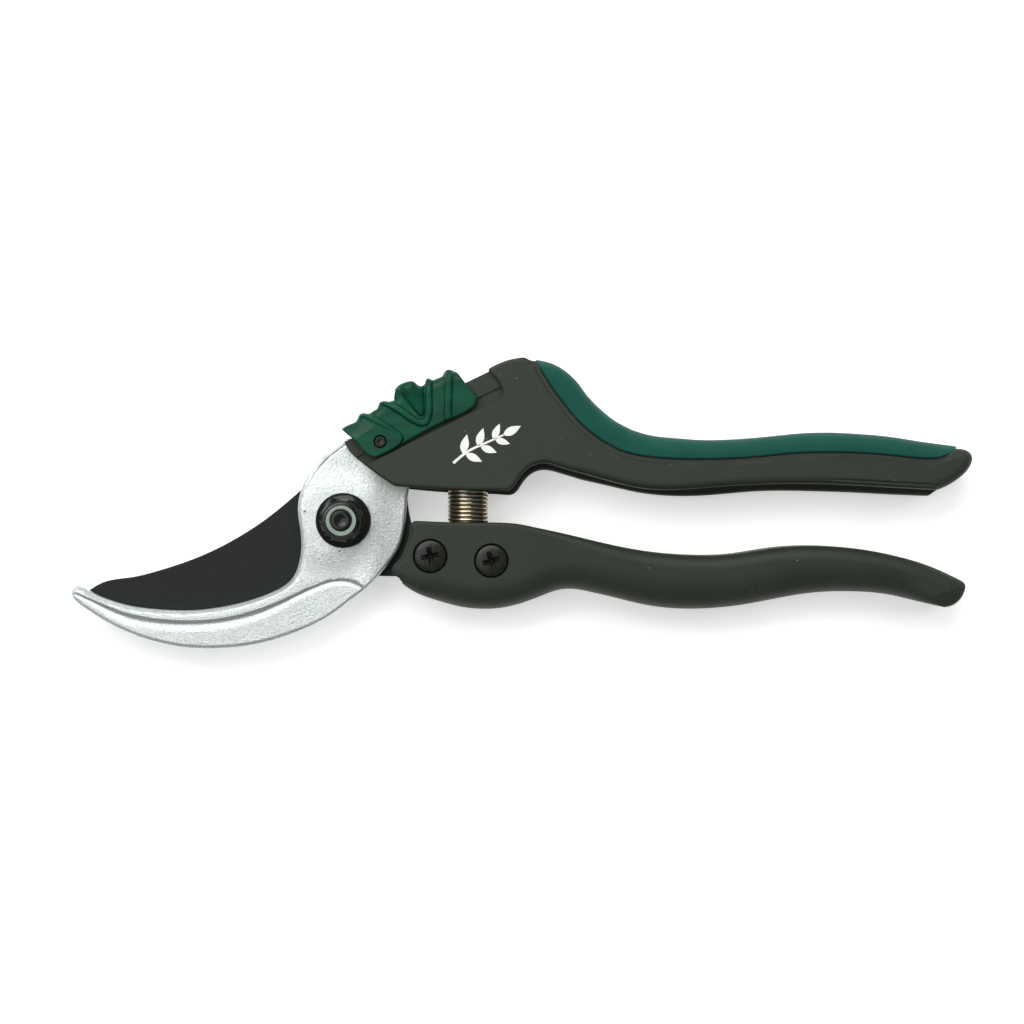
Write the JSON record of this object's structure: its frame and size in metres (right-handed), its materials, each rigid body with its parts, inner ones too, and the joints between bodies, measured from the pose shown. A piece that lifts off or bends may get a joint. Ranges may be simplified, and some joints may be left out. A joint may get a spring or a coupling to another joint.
{
  "type": "bypass pruner",
  "caption": "Hand pruner with a curved hook jaw, a coated cutting blade that passes it, a return spring, a thumb-slide lock and two shaped handles.",
  "frame": {"origin": "on the pivot's axis, in the plane that the tool lies on, at the flat face of the pivot bolt's head", "axes": "+X from the pivot towards the handles' ends, +Y from the lower handle to the upper handle, +Z along the pivot from bolt head to nut"},
  "size_m": [0.215, 0.0695, 0.0206],
  "materials": {
    "satin_steel": "satin",
    "coated_steel": "satin non-stick coating",
    "black_steel": "black oxide",
    "zinc_steel": "zinc plated",
    "bronze": "turned",
    "nylon": "natural nylon",
    "handle_grey": "fine moulded texture",
    "handle_coating": "powder coat",
    "soft_grip": "matt",
    "spring_steel": "drawn wire",
    "green_plastic": "semi-gloss"
  },
  "bodies": {
    "upper": {"hook_blade": "satin_steel", "upper_handle_front": "handle_grey", "upper_handle_rear": "handle_grey", "grip_pad": "soft_grip", "upper_handle_screw_1": "black_steel", "upper_handle_screw_2": "black_steel", "upper_handle_screw_3": "black_steel", "upper_handle_screw_4": "black_steel", "hook_locating_pin_1": "zinc_steel", "hook_locating_pin_2": "zinc_steel", "pivot_bolt": "black_steel", "pivot_washer": "zinc_steel", "pivot_nut": "black_steel", "pivot_nut_insert": "nylon", "return_spring": "spring_steel"},
    "lock": {"lock_slider": "green_plastic", "lock_detent_spring": "spring_steel", "lock_pin": "black_steel"},
    "lower": {"cutting_blade": "coated_steel", "pivot_bushing": "bronze", "lower_handle": "handle_coating", "lower_handle_screw_1": "black_steel", "lower_handle_screw_2": "black_steel", "lower_handle_nut_1": "black_steel", "lower_handle_nut_2": "black_steel"}
  },
  "joints": [
    {"name": "pivot", "type": "hinge", "parent": "upper", "child": "lower", "pos_m": [0, 0, 0.0068], "axis": [0, 0, -1], "range_deg": [0, 21], "stiffness_Nm_per_rad": 1.4, "springref_deg": 31.51, "deforming": ["return_spring"]},
    {"name": "lock_slide", "type": "slide", "parent": "upper", "child": "lock", "axis": [0.8988, 0.4384, 0], "range_m": [0, 0.0055]}
  ]
}
